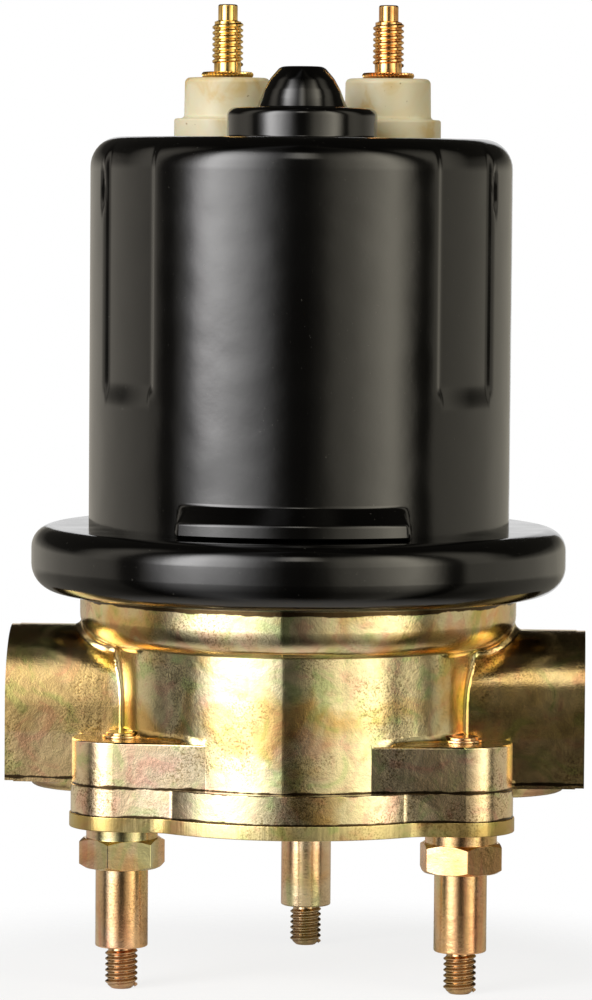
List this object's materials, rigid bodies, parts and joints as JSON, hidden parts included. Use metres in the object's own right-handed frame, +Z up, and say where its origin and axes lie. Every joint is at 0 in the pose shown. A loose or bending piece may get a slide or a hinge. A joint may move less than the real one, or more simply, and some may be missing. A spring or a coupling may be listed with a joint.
{
  "type": "electric fuel pump",
  "caption": "In-line rotary vane fuel pump driven by a sealed brushed motor, with side ports, shouldered mounting studs and insulated terminal studs.",
  "frame": {"origin": "on the motor's axis, level with the tips of the three mounting studs", "axes": "+Z up along the shaft, from the studs to the terminals; front is -Y; the two ports point along +X and -X"},
  "size_m": [0.0852, 0.0792, 0.1445],
  "materials": {
    "can_enamel": "gloss black enamel on drawn steel",
    "body_chromate": "die casting, yellow chromate finish",
    "plate_chromate": "yellow zinc chromate, fine edge grain",
    "stud_chromate": "yellow zinc chromate, turned",
    "terminal_brass": "bright turned brass",
    "insulator_nylon": "ivory moulded nylon",
    "seal_rubber": "black nitrile rubber",
    "ferrite": "ground ferrite",
    "inner_steel": "bright ground steel",
    "lamination_steel": "stacked electrical steel",
    "winding_copper": "enamelled copper wire",
    "bar_copper": "turned copper",
    "bronze": "sintered bronze",
    "phenolic": "brown phenolic",
    "carbon": "pressed carbon"
  },
  "bodies": {
    "housing": {"mounting_studs": "stud_chromate", "cover_plate": "plate_chromate", "pump_body": "body_chromate", "motor_can": "can_enamel", "housing_seal": "seal_rubber", "cell_seal": "seal_rubber", "cam_ring": "inner_steel", "cam_dowel": "inner_steel", "port_plate": "inner_steel", "relief_spring": "inner_steel", "relief_plug": "inner_steel", "shaft_seal": "seal_rubber", "lower_bearing": "bronze", "upper_bearing": "bronze", "bearing_retainer": "inner_steel", "magnet_front": "ferrite", "magnet_rear": "ferrite", "magnet_clips": "inner_steel", "brush_plate": "phenolic", "terminal_seals": "seal_rubber", "brush_holder_left": "terminal_brass", "brush_spring_left": "inner_steel", "terminal_stud_left": "terminal_brass", "terminal_washer_left": "terminal_brass", "terminal_insulator_left": "insulator_nylon", "terminal_bush_left": "insulator_nylon", "terminal_strap_left": "terminal_brass", "brush_holder_right": "terminal_brass", "brush_spring_right": "inner_steel", "terminal_stud_right": "terminal_brass", "terminal_washer_right": "terminal_brass", "terminal_insulator_right": "insulator_nylon", "terminal_bush_right": "insulator_nylon", "terminal_strap_right": "terminal_brass"},
    "armature": {"armature_shaft": "inner_steel", "thrust_washers": "phenolic", "armature_core": "lamination_steel", "armature_windings": "winding_copper", "commutator_hub": "phenolic", "commutator_bars": "bar_copper", "pump_rotor": "inner_steel", "rotor_vanes": "carbon", "rotor_pin": "inner_steel"},
    "brush_left": {"brush_left": "carbon"},
    "brush_right": {"brush_right": "carbon"},
    "relief_valve": {"relief_poppet": "terminal_brass"}
  },
  "joints": [
    {"name": "armature_spin", "type": "hinge", "parent": "housing", "child": "armature", "pos_m": [0, 0, 0.0435], "axis": [0, 0, 1], "continuous": true},
    {"name": "brush_slide_left", "type": "slide", "parent": "housing", "child": "brush_left", "axis": [-1, 0, 0], "range_m": [0, 0.003], "stiffness_N_per_m": 150, "springref_m": -0.004, "deforming": ["brush_spring_left"]},
    {"name": "brush_slide_right", "type": "slide", "parent": "housing", "child": "brush_right", "axis": [1, 0, 0], "range_m": [0, 0.003], "stiffness_N_per_m": 150, "springref_m": -0.004, "deforming": ["brush_spring_right"]},
    {"name": "relief_slide", "type": "slide", "parent": "housing", "child": "relief_valve", "axis": [0, 0, -1], "range_m": [0, 0.003], "stiffness_N_per_m": 120, "springref_m": -0.003, "deforming": ["relief_spring"]}
  ]
}
